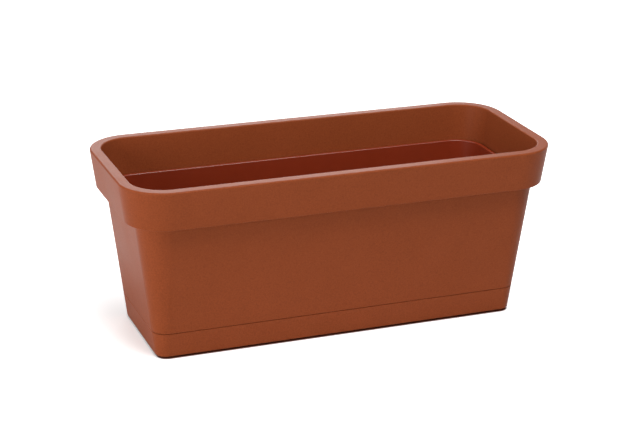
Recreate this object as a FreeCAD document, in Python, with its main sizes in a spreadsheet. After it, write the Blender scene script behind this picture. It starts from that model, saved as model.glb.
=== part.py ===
import FreeCAD, Part
import math
import os

import Sketcher

# Window box planter: an outer shell with a hollow collar, a liner that holds the soil and a
# drip tray, three mouldings that stand in one another.
# Millimetres. +X runs along the box, the long front faces -Y, +Z is up, and the origin lies on
# the ground under the middle of the box.

os.makedirs("parts", exist_ok=True)
doc = FreeCAD.newDocument("window_box_planter")

# ---------------------------------------------------------------------------------------------
# Driving dimensions
# ---------------------------------------------------------------------------------------------

SIZES = [
    # overall
    ("rim_length", 500.0),
    ("rim_width", 213.0),
    ("planter_height", 203.5),
    # collar and rim: an upside-down U of skirt, flat land and inner wall
    ("collar_height", 44.2),
    ("collar_lean", 6.3),
    ("collar_overhang", 10.3),
    ("rim_land", 12.8),
    ("rim_plate", 2.6),
    ("rim_edge", 1.8),
    ("rim_corner", 50.0),
    ("skirt_wall", 2.5),
    ("skirt_bevel", 0.8),
    ("gusset_thick", 1.8),
    ("gusset_setback", 4.0),
    ("gusset_pitch", 62.0),
    # body of the box
    ("body_taper", 20.8),
    ("shell_wall", 3.0),
    ("shell_floor", 2.8),
    ("shell_base_bevel", 1.6),
    ("shell_lift", 7.4),
    ("shell_foot_top", 30.0),
    ("shell_foot_base", 26.0),
    ("shell_foot_wall", 2.4),
    ("shell_foot_pitch", 112.0),
    ("shell_foot_y", 44.0),
    ("shell_drain", 10.0),
    ("shell_drain_pitch", 100.0),
    # drip tray
    ("tray_height", 30.0),
    ("tray_wall", 2.4),
    ("tray_floor", 2.4),
    ("tray_base_bevel", 0.9),
    ("tray_lip_bevel", 0.6),
    ("tray_fit", 0.5),
    ("tray_reveal", 0.6),
    ("tray_foot_rise", 2.2),
    ("tray_foot_setback", 6.0),
    ("tray_foot_band", 9.0),
    ("tray_rib_thick", 1.8),
    ("tray_rib_rise", 1.6),
    ("tray_rib_pitch", 130.0),
    # liner
    ("liner_drop", 40.5),
    ("liner_fit", 1.8),
    ("liner_foot_fit", 1.2),
    ("liner_wall", 2.2),
    ("liner_lip_land", 4.8),
    ("liner_lip_depth", 3.2),
    ("liner_lip_bevel", 1.0),
    ("liner_corner", 33.0),
    ("liner_floor", 2.4),
    ("liner_floor_bevel", 4.7),
    ("liner_base_bevel", 6.0),
    ("liner_stand", 11.0),
    ("liner_foot_top", 32.0),
    ("liner_foot_base", 28.0),
    ("liner_foot_wall", 2.2),
    ("liner_foot_pitch", 128.0),
    ("liner_foot_y", 38.0),
    ("liner_drain", 9.0),
    ("liner_drain_pitch", 64.0),
    ("liner_drain_y", 14.0),
]

sheet = doc.addObject("Spreadsheet::Sheet", "Sizes")
for row, (alias, value) in enumerate(SIZES, start=1):
    sheet.set(f"A{row}", alias)
    sheet.set(f"B{row}", str(value))
    sheet.setAlias(f"B{row}", alias)
doc.recompute()


def ref(alias):
    """Names a driving dimension in an expression."""
    return f"Sizes.{alias}"


# ---------------------------------------------------------------------------------------------
# Heights, as expressions
# ---------------------------------------------------------------------------------------------

TOP = ref("planter_height")
COLLAR_FOOT = f"({TOP} - {ref('collar_height')})"
TRAY_FLOOR_TOP = f"({ref('tray_foot_rise')} + {ref('tray_floor')})"
TRAY_TOP = ref("tray_height")
SEAM_TOP = f"({TRAY_TOP} + {ref('tray_reveal')})"
SHELL_BASE = f"({TRAY_FLOOR_TOP} + {ref('shell_lift')})"
SHELL_FLOOR_TOP = f"({SHELL_BASE} + {ref('shell_floor')})"
LINER_BASE = f"({SHELL_FLOOR_TOP} + {ref('liner_stand')})"
LINER_FLOOR_TOP = f"({LINER_BASE} + {ref('liner_floor')})"
LINER_TOP = f"({TOP} - {ref('liner_drop')})"


# ---------------------------------------------------------------------------------------------
# Sections: how far a surface lies inside the outline of the rim, as expressions of the height.
# All moulded walls keep the same centres for their round corners, so that their sides are
# planes and their corners are cones.
# ---------------------------------------------------------------------------------------------

BODY_TOP_INSET = f"({ref('collar_lean')} + {ref('collar_overhang')})"


def section(z, inset, corner=ref("rim_corner")):
    """A level section: its height, its inset and its corner radius."""
    return z, inset, f"({corner}) - ({inset})"


def body_inset(z, offset="0"):
    """Outer face of the tapered body, moved inwards by offset."""
    drop = f"(({COLLAR_FOOT} - {z}) / {COLLAR_FOOT})"
    return f"({BODY_TOP_INSET} + {ref('body_taper')} * {drop} + ({offset}))"


def collar_drop(z):
    """How far down the collar a height lies: 0 at the rim, 1 at the collar's foot."""
    return f"(({TOP} - {z}) / {ref('collar_height')})"


def skirt_inset(z, offset="0"):
    """Outer face of the collar's skirt, moved inwards by offset."""
    return f"({ref('collar_lean')} * {collar_drop(z)} + ({offset}))"


def inner_wall_inset(z, offset="0"):
    """Inner face of the box behind the collar, moved inwards by offset."""
    foot = f"({BODY_TOP_INSET} + {ref('shell_wall')})"
    return f"({ref('rim_land')} + ({foot} - {ref('rim_land')}) * {collar_drop(z)} + ({offset}))"


# ---------------------------------------------------------------------------------------------
# Sketches and features
# ---------------------------------------------------------------------------------------------

ORIGIN = (-1, 1)
QUARTER_TURN = math.pi / 2


def origin_part(body, role):
    """One of the body's own origin planes or axes."""
    return next(item for item in body.Origin.OriginFeatures if item.Role == role)


def new_body(name):
    """A body whose label is the name of its node."""
    body = doc.addObject("PartDesign::Body", name)
    body.Label = name
    return body


def new_sketch(body, name, height, role="XY_Plane"):
    """An empty sketch on one of the body's planes, moved along its normal by height."""
    sketch = body.newObject("Sketcher::SketchObject", name)
    sketch.AttachmentSupport = [(origin_part(body, role), "")]
    sketch.MapMode = "FlatFace"
    sketch.setExpression("AttachmentOffset.Base.z", height)
    return sketch


def value_of(expression):
    """The present value of an expression of the sheet's sizes."""
    return float(sheet.evalExpression(expression))


def bind(sketch, constraint, expression):
    """Adds a dimension to the sketch and ties it to an expression."""
    index = sketch.addConstraint(constraint)
    sketch.setExpression(f"Constraints[{index}]", expression)


def place(sketch, kind, point, expression):
    """Ties a point's distance from the origin, along X or Y, to an expression of either sign."""
    value = value_of(expression)
    if value < 0:
        bind(sketch, Sketcher.Constraint(kind, *point, *ORIGIN, -value), f"-({expression})")
    else:
        bind(sketch, Sketcher.Constraint(kind, *ORIGIN, *point, value), expression)


def rounded_rectangle(body, name, level):
    """A rectangle about the Z axis with equal round corners, from a level section."""
    height, inset, corner = level
    half_x = f"{ref('rim_length')} / 2 - ({inset})"
    half_y = f"{ref('rim_width')} / 2 - ({inset})"
    x, y, r = value_of(half_x), value_of(half_y), value_of(corner)
    sides = [((r - x, -y), (x - r, -y)), ((x, r - y), (x, y - r)),
             ((x - r, y), (r - x, y)), ((-x, y - r), (-x, r - y))]
    centres = [(x - r, r - y), (x - r, y - r), (r - x, y - r), (r - x, r - y)]
    sketch = new_sketch(body, name, height)
    for turn, ((start, stop), centre) in enumerate(zip(sides, centres)):
        line = Part.LineSegment(FreeCAD.Vector(*start, 0), FreeCAD.Vector(*stop, 0))
        circle = Part.Circle(FreeCAD.Vector(*centre, 0), FreeCAD.Vector(0, 0, 1), r)
        arc = Part.ArcOfCircle(circle, (turn - 1) * QUARTER_TURN, turn * QUARTER_TURN)
        sketch.addGeometry(line, False)
        sketch.addGeometry(arc, False)
    for index in range(8):
        sketch.addConstraint(Sketcher.Constraint("Tangent", index, 2, (index + 1) % 8, 1))
    for index in (0, 4):
        sketch.addConstraint(Sketcher.Constraint("Horizontal", index))
        sketch.addConstraint(Sketcher.Constraint("Vertical", index + 2))
    for index in (3, 5, 7):
        sketch.addConstraint(Sketcher.Constraint("Equal", 1, index))
    sketch.addConstraint(Sketcher.Constraint("Symmetric", 0, 1, 4, 1, *ORIGIN))
    bind(sketch, Sketcher.Constraint("DistanceX", *ORIGIN, 2, 1, x), half_x)
    bind(sketch, Sketcher.Constraint("DistanceY", 0, 1, *ORIGIN, y), half_y)
    bind(sketch, Sketcher.Constraint("Radius", 1, r), corner)
    return sketch


def circle_sketch(body, name, height, x, y, diameter):
    """A circle at (x, y), all three as expressions."""
    sketch = new_sketch(body, name, height)
    centre = FreeCAD.Vector(value_of(x), value_of(y), 0)
    circle = Part.Circle(centre, FreeCAD.Vector(0, 0, 1), value_of(diameter) / 2)
    sketch.addGeometry(circle, False)
    place(sketch, "DistanceX", (0, 3), x)
    place(sketch, "DistanceY", (0, 3), y)
    bind(sketch, Sketcher.Constraint("Diameter", 0, value_of(diameter)), diameter)
    return sketch


def polygon_sketch(body, name, role, height, corners):
    """A closed polygon whose corners are pairs of expressions in the plane's own axes."""
    sketch = new_sketch(body, name, height, role)
    points = [FreeCAD.Vector(value_of(x), value_of(y), 0) for x, y in corners]
    count = len(points)
    for index in range(count):
        line = Part.LineSegment(points[index], points[(index + 1) % count])
        sketch.addGeometry(line, False)
    for index in range(count):
        following = (index + 1) % count
        sketch.addConstraint(Sketcher.Constraint("Coincident", index, 2, following, 1))
    for index, (x, y) in enumerate(corners):
        place(sketch, "DistanceX", (index, 1), x)
        place(sketch, "DistanceY", (index, 1), y)
    return sketch


volumes = {}


def finish_feature(body, feature, adds):
    """Makes the feature the body's tip and checks that it really added or removed material."""
    body.Tip = feature
    doc.recompute()
    volume = feature.Shape.Volume
    change = volume - volumes.get(body.Name, 0.0)
    if (change > 0) != adds or abs(change) < 1.0:
        raise RuntimeError(f"{body.Label}: {feature.Name} changed the volume by {change:.1f}")
    volumes[body.Name] = volume
    return feature


def loft(body, name, profiles, adds=True):
    """A straight-sided loft through sketches, added to the body or cut out of it."""
    kind = "PartDesign::AdditiveLoft" if adds else "PartDesign::SubtractiveLoft"
    doc.recompute()
    feature = body.newObject(kind, name)
    feature.Profile = profiles[0]
    feature.Sections = profiles[1:]
    feature.Ruled = True
    return finish_feature(body, feature, adds)


def box_loft(body, name, levels, adds=True):
    """A loft through rounded rectangles given as level sections."""
    profiles = [rounded_rectangle(body, f"{name}_{index}", level)
                for index, level in enumerate(levels)]
    return loft(body, name, profiles, adds)


def square_stub(body, name, bottom, top, x, y, adds=True):
    """A drafted square stub about (x, y); bottom and top are pairs (height, width)."""
    profiles = []
    for index, (height, width) in enumerate((bottom, top)):
        left, right = f"{x} - ({width}) / 2", f"{x} + ({width}) / 2"
        front, back = f"{y} - ({width}) / 2", f"{y} + ({width}) / 2"
        corners = [(left, front), (right, front), (right, back), (left, back)]
        profiles.append(polygon_sketch(body, f"{name}_{index}", "XY_Plane", height, corners))
    return loft(body, name, profiles, adds)


def pad(body, name, sketch, thickness):
    """Material on both sides of a sketch, half the thickness on each."""
    feature = body.newObject("PartDesign::Pad", name)
    feature.Profile = sketch
    feature.setExpression("Length", thickness)
    feature.Midplane = True
    return finish_feature(body, feature, adds=True)


def pocket(body, name, sketch, depth, upwards):
    """A cut from a sketch, above or below it."""
    feature = body.newObject("PartDesign::Pocket", name)
    feature.Profile = sketch
    feature.setExpression("Length", depth)
    feature.Reversed = upwards
    return finish_feature(body, feature, adds=False)


def row_of(body, name, original, axis, count, pitch, adds=True):
    """Repeats a feature count times along an axis, pitch apart."""
    feature = body.newObject("PartDesign::LinearPattern", name)
    feature.Originals = [original]
    feature.Direction = (origin_part(body, axis), [""])
    feature.Occurrences = count
    feature.setExpression("Length", f"{count - 1} * {pitch}")
    return finish_feature(body, feature, adds)


def flat_face(shape, height, normal_up):
    """The widest flat face that lies at a height and looks up or down."""
    def fits(face):
        if face.Surface.TypeId != "Part::GeomPlane" or abs(face.BoundBox.ZLength) > 1e-6:
            return False
        level = abs(face.CenterOfMass.z - height) < 1e-4
        return level and (face.normalAt(0, 0).z > 0) == normal_up
    return max(filter(fits, shape.Faces), key=lambda face: face.BoundBox.DiagonalLength)


def edge_names(shape, edges):
    """The names of some edges of a shape."""
    names = []
    for number, edge in enumerate(shape.Edges, start=1):
        if any(edge.isSame(wanted) for wanted in edges):
            names.append(f"Edge{number}")
    return names


def dress_loop(body, name, kind, size, height, normal_up, inner):
    """Rounds or bevels the outer edge, or the inner one, of the widest flat face at a height."""
    base = body.Tip
    face = flat_face(base.Shape, value_of(height), normal_up)
    outer = [wire for wire in face.Wires if wire.isSame(face.OuterWire)]
    holes = [wire for wire in face.Wires if not wire.isSame(face.OuterWire)]
    wire = max(holes, key=lambda item: item.Length) if inner else outer[0]
    feature = body.newObject(kind, name)
    feature.Base = (base, edge_names(base.Shape, wire.Edges))
    feature.setExpression(*size)
    body.Tip = feature
    doc.recompute()
    volumes[body.Name] = feature.Shape.Volume
    return feature


def round_loop(body, name, height, normal_up, inner, radius):
    """A rounded edge all round a level face."""
    return dress_loop(body, name, "PartDesign::Fillet", ("Radius", radius),
                      height, normal_up, inner)


def bevel_loop(body, name, height, normal_up, inner, size):
    """A bevelled edge all round a level face."""
    return dress_loop(body, name, "PartDesign::Chamfer", ("Size", size),
                      height, normal_up, inner)


# ---------------------------------------------------------------------------------------------
# Planter shell
# ---------------------------------------------------------------------------------------------

FRONT_BACK = (-1, 1)
TRAY_RABBET = f"({ref('tray_wall')} + {ref('tray_fit')})"
FOOT_CAVITY = f"({TRAY_RABBET} + {ref('shell_wall')})"


def shell_walls(shell):
    """The collar as a hollow upside-down U, the tapered box and its set-in foot."""
    plate_under = f"({TOP} - {ref('rim_plate')})"
    box_loft(shell, "collar_block", [
        section(COLLAR_FOOT, skirt_inset(COLLAR_FOOT)),
        section(TOP, skirt_inset(TOP))])
    box_loft(shell, "collar_hollow", [
        section(COLLAR_FOOT, skirt_inset(COLLAR_FOOT, ref("skirt_wall"))),
        section(plate_under, skirt_inset(plate_under, ref("skirt_wall")))], adds=False)
    wall = ref("shell_wall")
    box_loft(shell, "box_block", [
        section(SEAM_TOP, body_inset(SEAM_TOP)),
        section(COLLAR_FOOT, body_inset(COLLAR_FOOT)),
        section(TOP, inner_wall_inset(TOP, f"-{wall}"))])
    box_loft(shell, "foot_block", [
        section(SHELL_BASE, body_inset(SHELL_BASE, TRAY_RABBET)),
        section(SEAM_TOP, body_inset(SEAM_TOP, TRAY_RABBET))])
    shoulder_top = f"({SEAM_TOP} + 2 * {wall})"
    box_loft(shell, "cavity", [
        section(SHELL_FLOOR_TOP, body_inset(SHELL_FLOOR_TOP, FOOT_CAVITY)),
        section(SEAM_TOP, body_inset(SEAM_TOP, FOOT_CAVITY)),
        section(shoulder_top, body_inset(shoulder_top, wall)),
        section(COLLAR_FOOT, body_inset(COLLAR_FOOT, wall)),
        section(TOP, inner_wall_inset(TOP))], adds=False)


def shell_edges(shell):
    """Rounded rim, and bevels at the collar's foot and under the floor."""
    round_loop(shell, "rim_outer_edge", TOP, True, False, ref("rim_edge"))
    round_loop(shell, "rim_inner_edge", TOP, True, True, ref("rim_edge"))
    bevel_loop(shell, "skirt_bevel", COLLAR_FOOT, False, False, ref("skirt_bevel"))
    bevel_loop(shell, "base_bevel", SHELL_BASE, False, False, ref("shell_base_bevel"))


def gusset_outline(half_size, side):
    """Section of one gusset in the hollow of the collar, rooted in the skirt, plate and wall."""
    low = f"({COLLAR_FOOT} + {ref('gusset_setback')})"
    high = f"({TOP} - {ref('rim_plate')} / 2)"
    outer_root = f"{ref('skirt_wall')} / 2"
    inner_root = f"-{ref('shell_wall')} / 2"
    insets = [(skirt_inset(low, outer_root), low), (skirt_inset(high, outer_root), high),
              (inner_wall_inset(high, inner_root), high), (inner_wall_inset(low, inner_root), low)]
    return [(f"{side} * ({half_size} - {inset})", height) for inset, height in insets]


def shell_gussets(shell):
    """Ribs that brace the skirt to the inner wall, along the sides and across the ends."""
    pitch = ref("gusset_pitch")
    half_width = f"{ref('rim_width')} / 2"
    half_length = f"{ref('rim_length')} / 2"
    along, across = 7, 2
    for side in FRONT_BACK:
        word = "front" if side < 0 else "back"
        first = f"-{(along - 1) / 2} * {pitch}"
        outline = polygon_sketch(shell, f"{word}_gusset_outline", "YZ_Plane", first,
                                 gusset_outline(half_width, side))
        rib = pad(shell, f"{word}_gusset", outline, ref("gusset_thick"))
        row_of(shell, f"{word}_gussets", rib, "X_Axis", along, pitch)
    for side in FRONT_BACK:
        word = "left" if side < 0 else "right"
        first = f"{(across - 1) / 2} * {pitch}"
        outline = polygon_sketch(shell, f"{word}_gusset_outline", "XZ_Plane", first,
                                 gusset_outline(half_length, side))
        rib = pad(shell, f"{word}_gusset", outline, ref("gusset_thick"))
        row_of(shell, f"{word}_gussets", rib, "Y_Axis", across, pitch)


def shell_feet(shell):
    """Two rows of hollow feet, open to the inside, that stand on the floor of the tray."""
    pitch = ref("shell_foot_pitch")
    skin = ref("shell_foot_wall")
    base, top = ref("shell_foot_base"), ref("shell_foot_top")
    count = 4
    first = f"-{(count - 1) / 2} * {pitch}"
    for side in FRONT_BACK:
        word = "front" if side < 0 else "back"
        y = f"{side} * {ref('shell_foot_y')}"
        foot = square_stub(shell, f"{word}_foot", (TRAY_FLOOR_TOP, base),
                           (f"{SHELL_BASE} + {ref('shell_floor')} / 2", top), first, y)
        row_of(shell, f"{word}_feet", foot, "X_Axis", count, pitch)
        hollow = square_stub(shell, f"{word}_foot_hollow",
                             (f"{TRAY_FLOOR_TOP} + {skin}", f"{base} - 2 * {skin}"),
                             (SHELL_FLOOR_TOP, f"{top} - 2 * {skin}"), first, y, adds=False)
        row_of(shell, f"{word}_foot_hollows", hollow, "X_Axis", count, pitch, adds=False)


def drain_row(body, name, top, depth, x, y, diameter, count, pitch):
    """A row of round holes cut down from a level, as expressions."""
    outline = circle_sketch(body, f"{name}_outline", top, x, y, diameter)
    hole = pocket(body, name, outline, depth, upwards=False)
    row_of(body, f"{name}_row", hole, "X_Axis", count, pitch, adds=False)


def make_shell():
    """The outer box with its collar, floor and feet."""
    shell = new_body("planter_shell")
    shell_walls(shell)
    shell_edges(shell)
    shell_gussets(shell)
    shell_feet(shell)
    pitch = ref("shell_drain_pitch")
    count = 4
    drain_row(shell, "drain", SHELL_FLOOR_TOP, ref("shell_floor"), f"-{(count - 1) / 2} * {pitch}",
              "0", ref("shell_drain"), count, pitch)
    return shell


# ---------------------------------------------------------------------------------------------
# Liner
# ---------------------------------------------------------------------------------------------

LIP_INSET = f"({inner_wall_inset(LINER_TOP)} + {ref('liner_fit')})"
LINER_CORNER = f"({ref('liner_corner')} + {LIP_INSET})"


def liner_section(z, offset="0"):
    """Outer face of the liner, moved inwards by offset; straight from its base to its lip."""
    rise = f"(({z} - {LINER_BASE}) / ({LINER_TOP} - {LINER_BASE}))"
    base_inset = body_inset(LINER_BASE, f"{FOOT_CAVITY} + {ref('liner_foot_fit')}")
    top_inset = f"({LIP_INSET} + {ref('liner_lip_land')} - {ref('liner_wall')})"
    inset = f"({base_inset} * (1 - {rise}) + {top_inset} * {rise} + ({offset}))"
    return section(z, inset, LINER_CORNER)


def liner_walls(liner):
    """The pot with its level lip and a bevelled floor of nearly even thickness."""
    lip_under = f"({LINER_TOP} - {ref('liner_lip_depth')})"
    box_loft(liner, "pot_block", [liner_section(LINER_BASE), liner_section(lip_under)])
    box_loft(liner, "lip", [
        section(lip_under, LIP_INSET, LINER_CORNER),
        section(LINER_TOP, LIP_INSET, LINER_CORNER)])
    box_loft(liner, "soil_space", [
        liner_section(LINER_FLOOR_TOP, ref("liner_wall")),
        liner_section(LINER_TOP, ref("liner_wall"))], adds=False)
    bevel_loop(liner, "base_bevel", LINER_BASE, False, False, ref("liner_base_bevel"))
    bevel_loop(liner, "floor_bevel", LINER_FLOOR_TOP, True, False, ref("liner_floor_bevel"))
    bevel_loop(liner, "lip_outer_bevel", LINER_TOP, True, False, ref("liner_lip_bevel"))
    bevel_loop(liner, "lip_inner_bevel", LINER_TOP, True, True, ref("liner_lip_bevel"))


def liner_feet(liner):
    """Two rows of hollow feet that stand on the floor of the shell."""
    pitch = ref("liner_foot_pitch")
    skin = ref("liner_foot_wall")
    base, top = ref("liner_foot_base"), ref("liner_foot_top")
    count = 3
    first = f"-{(count - 1) / 2} * {pitch}"
    for side in FRONT_BACK:
        word = "front" if side < 0 else "back"
        y = f"{side} * {ref('liner_foot_y')}"
        foot = square_stub(liner, f"{word}_foot", (SHELL_FLOOR_TOP, base),
                           (f"{LINER_BASE} + {ref('liner_floor')} / 2", top), first, y)
        row_of(liner, f"{word}_feet", foot, "X_Axis", count, pitch)
        hollow = square_stub(liner, f"{word}_foot_hollow",
                             (f"{SHELL_FLOOR_TOP} + {skin}", f"{base} - 2 * {skin}"),
                             (LINER_FLOOR_TOP, f"{top} - 2 * {skin}"), first, y, adds=False)
        row_of(liner, f"{word}_foot_hollows", hollow, "X_Axis", count, pitch, adds=False)


def make_liner():
    """The inner pot that holds the soil."""
    liner = new_body("liner")
    liner_walls(liner)
    liner_feet(liner)
    pitch = ref("liner_drain_pitch")
    count = 3
    for side in FRONT_BACK:
        word = "front" if side < 0 else "back"
        drain_row(liner, f"{word}_drain", LINER_FLOOR_TOP, ref("liner_floor"),
                  f"-{(count - 1) / 2} * {pitch}", f"{side} * {ref('liner_drain_y')}",
                  ref("liner_drain"), count, pitch)
    return liner


# ---------------------------------------------------------------------------------------------
# Drip tray
# ---------------------------------------------------------------------------------------------


def tray_rib(tray, name, middle_x, half_x, half_y):
    """A low upright rib on the floor of the tray, sunk half its height into the floor."""
    left, right = f"{middle_x} - ({half_x})", f"{middle_x} + ({half_x})"
    front, back = f"-({half_y})", f"({half_y})"
    outline = polygon_sketch(tray, f"{name}_outline", "XY_Plane", TRAY_FLOOR_TOP,
                             [(left, front), (right, front), (right, back), (left, back)])
    return pad(tray, name, outline, f"2 * {ref('tray_rib_rise')}")


def tray_ribs(tray):
    """One rib along the floor and three across it, each ending inside the wall."""
    root = body_inset(TRAY_FLOOR_TOP, f"{ref('tray_wall')} / 2")
    reach_x = f"{ref('rim_length')} / 2 - {root}"
    reach_y = f"{ref('rim_width')} / 2 - {root}"
    half_thick = f"{ref('tray_rib_thick')} / 2"
    tray_rib(tray, "long_rib", "0", reach_x, half_thick)
    count = 3
    pitch = ref("tray_rib_pitch")
    cross = tray_rib(tray, "cross_rib", f"-{(count - 1) / 2} * {pitch}", half_thick, reach_y)
    row_of(tray, "cross_ribs", cross, "X_Axis", count, pitch)


def make_tray():
    """The saucer under the box; its wall carries on the taper of the shell.

    It stands on a set-in foot, a low band that runs round under the floor.
    """
    tray = new_body("drip_tray")
    wall, rise = ref("tray_wall"), ref("tray_foot_rise")
    box_loft(tray, "tray_block", [
        section(rise, body_inset(rise)),
        section(TRAY_TOP, body_inset(TRAY_TOP))])
    middle = f"({rise} + {ref('tray_floor')} / 2)"
    box_loft(tray, "foot_block", [
        section("0", body_inset("0", ref("tray_foot_setback"))),
        section(middle, body_inset(middle, ref("tray_foot_setback")))])
    box_loft(tray, "water_space", [
        section(TRAY_FLOOR_TOP, body_inset(TRAY_FLOOR_TOP, wall)),
        section(TRAY_TOP, body_inset(TRAY_TOP, wall))], adds=False)
    tray_ribs(tray)
    hollow = f"({ref('tray_foot_setback')} + {ref('tray_foot_band')})"
    recess = rounded_rectangle(tray, "foot_recess_outline",
                               section("0", body_inset("0", hollow),
                                       f"{ref('rim_corner')} + {hollow}"))
    pocket(tray, "foot_recess", recess, rise, upwards=True)
    bevel_loop(tray, "base_bevel", rise, False, False, ref("tray_base_bevel"))
    bevel_loop(tray, "lip_bevel", TRAY_TOP, True, False, ref("tray_lip_bevel"))
    return tray


# ---------------------------------------------------------------------------------------------
# Check and write
# ---------------------------------------------------------------------------------------------


def check_document():
    """Stops if any object of the document failed to compute."""
    for item in doc.Objects:
        failed = {"Invalid", "Error"} & set(item.State)
        if failed:
            raise RuntimeError(f"{item.Name}: {sorted(failed)}")


def write_part(body):
    """Checks the shape of a sub-part and writes its STEP file."""
    shape = body.Shape
    if shape.isNull() or not shape.isValid() or len(shape.Solids) != 1:
        raise RuntimeError(f"{body.Label}: the shape is not one valid solid")
    shape.exportStep(f"parts/{body.Label}.step")
    print(f"{body.Label}: {shape.Volume / 1000:.1f} cm3, {len(shape.Faces)} faces")


bodies = [make_shell(), make_liner(), make_tray()]
doc.recompute()
check_document()
for item in bodies:
    write_part(item)
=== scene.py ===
"""Looks for a window box planter: outer shell, inner pot and drip tray in moulded plastic.

Every wall of the planter is a profile carried round a rectangle with round corners, so each
moulding is computed as whole arrays and closed with flat plates, feet and ribs.
"""

import logging
import math
from collections.abc import Sequence
from dataclasses import dataclass
from enum import Enum

import bmesh
import bpy
import numpy as np
from mathutils import Matrix, Vector
from mathutils.geometry import delaunay_2d_cdt


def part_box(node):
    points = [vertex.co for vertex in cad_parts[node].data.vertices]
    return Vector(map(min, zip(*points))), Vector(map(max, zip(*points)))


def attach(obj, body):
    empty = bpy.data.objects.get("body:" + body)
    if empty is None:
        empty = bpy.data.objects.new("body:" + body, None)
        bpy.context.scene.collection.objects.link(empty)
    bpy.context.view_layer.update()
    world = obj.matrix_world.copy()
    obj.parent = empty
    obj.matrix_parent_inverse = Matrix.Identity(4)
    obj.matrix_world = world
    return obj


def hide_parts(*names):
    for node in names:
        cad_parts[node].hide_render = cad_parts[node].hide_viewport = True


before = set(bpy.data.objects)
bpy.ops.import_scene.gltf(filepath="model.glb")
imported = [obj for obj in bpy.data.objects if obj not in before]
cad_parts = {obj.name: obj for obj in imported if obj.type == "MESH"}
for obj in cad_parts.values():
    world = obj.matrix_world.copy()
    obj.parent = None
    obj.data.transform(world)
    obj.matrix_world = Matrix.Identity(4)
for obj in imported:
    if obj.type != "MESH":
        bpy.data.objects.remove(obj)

log = logging.getLogger("window_box_planter")

MM = 0.001
RIGHT_ANGLE = math.pi / 2

RIM_LENGTH = 500.0 * MM
RIM_WIDTH = 213.0 * MM

# Straight steps in the round corners of the walls and feet, and all round a drain hole.
WALL_CORNER_STEPS = 40
FOOT_CORNER_STEPS = 4
DRAIN_STEPS = 28

# Edges that turn by more than SHARP_EDGE stay crisp. Points closer than SAME_POINT become one,
# and PLATE_TOLERANCE is the same for the outlines of a plate, in metres.
SHARP_EDGE = math.radians(32)
SAME_POINT = 1e-6
PLATE_TOLERANCE = 1e-9

# A place on a level, as X and Y, and a profile's corner, as inset, height and radius.
Place = tuple[float, float]
Corner = tuple[float, float, float]


# ---------------------------------------------------------------------------------------------
# Outlines and profiles
# ---------------------------------------------------------------------------------------------


def rounded_box(half_x: float, half_y: float, radius: float, steps: int) -> np.ndarray:
    """Outline of a rectangle with round corners, anticlockwise from above.

    Each corner's centre lies its radius inside both sides, and the corner is a quarter circle
    of steps + 1 points about it.

    Args:
        half_x: Half the length along X.
        half_y: Half the width along Y.
        radius: Radius of the corners.
        steps: Straight steps in each corner.

    Returns:
        Points of the outline, as rows of X and Y.
    """
    turn = np.linspace(0.0, RIGHT_ANGLE, steps + 1)
    angles = turn[None, :] + RIGHT_ANGLE * np.arange(4)[:, None]
    side_x = np.array([1.0, -1.0, -1.0, 1.0])[:, None]
    side_y = np.array([1.0, 1.0, -1.0, -1.0])[:, None]
    x = side_x * (half_x - radius) + radius * np.cos(angles)
    y = side_y * (half_y - radius) + radius * np.sin(angles)
    return np.stack([x.ravel(), y.ravel()], axis=1)


def circle(radius: float, steps: int) -> np.ndarray:
    """Outline of a circle, anticlockwise: radius times the cosine and sine of even angles."""
    angles = np.arange(steps) * (2 * math.pi / steps)
    return radius * np.stack([np.cos(angles), np.sin(angles)], axis=1)


def rounded_profile(corners: Sequence[Corner], steps: int) -> np.ndarray:
    """A polyline whose corners are replaced by arcs.

    An arc of radius r leaves each leg r / tan(half the corner's angle) from the corner. Its
    points turn evenly about a centre on the corner's bisector, from one leg's normal to the
    other's.

    Args:
        corners: Inset, height and radius of each corner, in order.
        steps: Straight steps in each arc.

    Returns:
        Rows of inset and height.
    """
    points = []
    last = len(corners) - 1
    for index, (inset, height, radius) in enumerate(corners):
        here = np.array([inset, height])
        if radius <= 0.0 or index in (0, last):
            points.append(here[None, :])
            continue
        back = np.array(corners[index - 1][:2]) - here
        ahead = np.array(corners[index + 1][:2]) - here
        back /= np.linalg.norm(back)
        ahead /= np.linalg.norm(ahead)
        half = math.acos(float(np.clip(back @ ahead, -1.0, 1.0))) / 2
        bisector = back + ahead
        centre = here + bisector / np.linalg.norm(bisector) * (radius / math.sin(half))
        start = here + back * (radius / math.tan(half)) - centre
        end = here + ahead * (radius / math.tan(half)) - centre
        sweep = math.pi - 2 * half
        share = np.linspace(0.0, 1.0, steps + 1)[:, None]
        arc = (np.sin((1 - share) * sweep) * start + np.sin(share * sweep) * end)
        points.append(centre + arc / math.sin(sweep))
    return np.concatenate(points)


@dataclass(frozen=True)
class Plan:
    """Rectangles with round corners that share the centres of their corners.

    The rectangle at inset i lies i inside the outline of the rim, and its corners have a radius
    of corner - i, so a straight profile makes planes along the sides and cones at the corners.
    """

    half_length: float
    half_width: float
    corner: float
    steps: int = WALL_CORNER_STEPS

    def ring(self, inset: float) -> np.ndarray:
        """The rectangle at an inset, as rows of X and Y."""
        return rounded_box(self.half_length - inset, self.half_width - inset,
                           self.corner - inset, self.steps)


# ---------------------------------------------------------------------------------------------
# Skins
# ---------------------------------------------------------------------------------------------


class Facing(Enum):
    """Which way a level plate looks."""

    UP = 1
    DOWN = -1


def level_points(outline: np.ndarray, height: float) -> np.ndarray:
    """An outline at a height, as rows of X, Y and Z."""
    return np.column_stack([outline, np.full(len(outline), height)])


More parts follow.
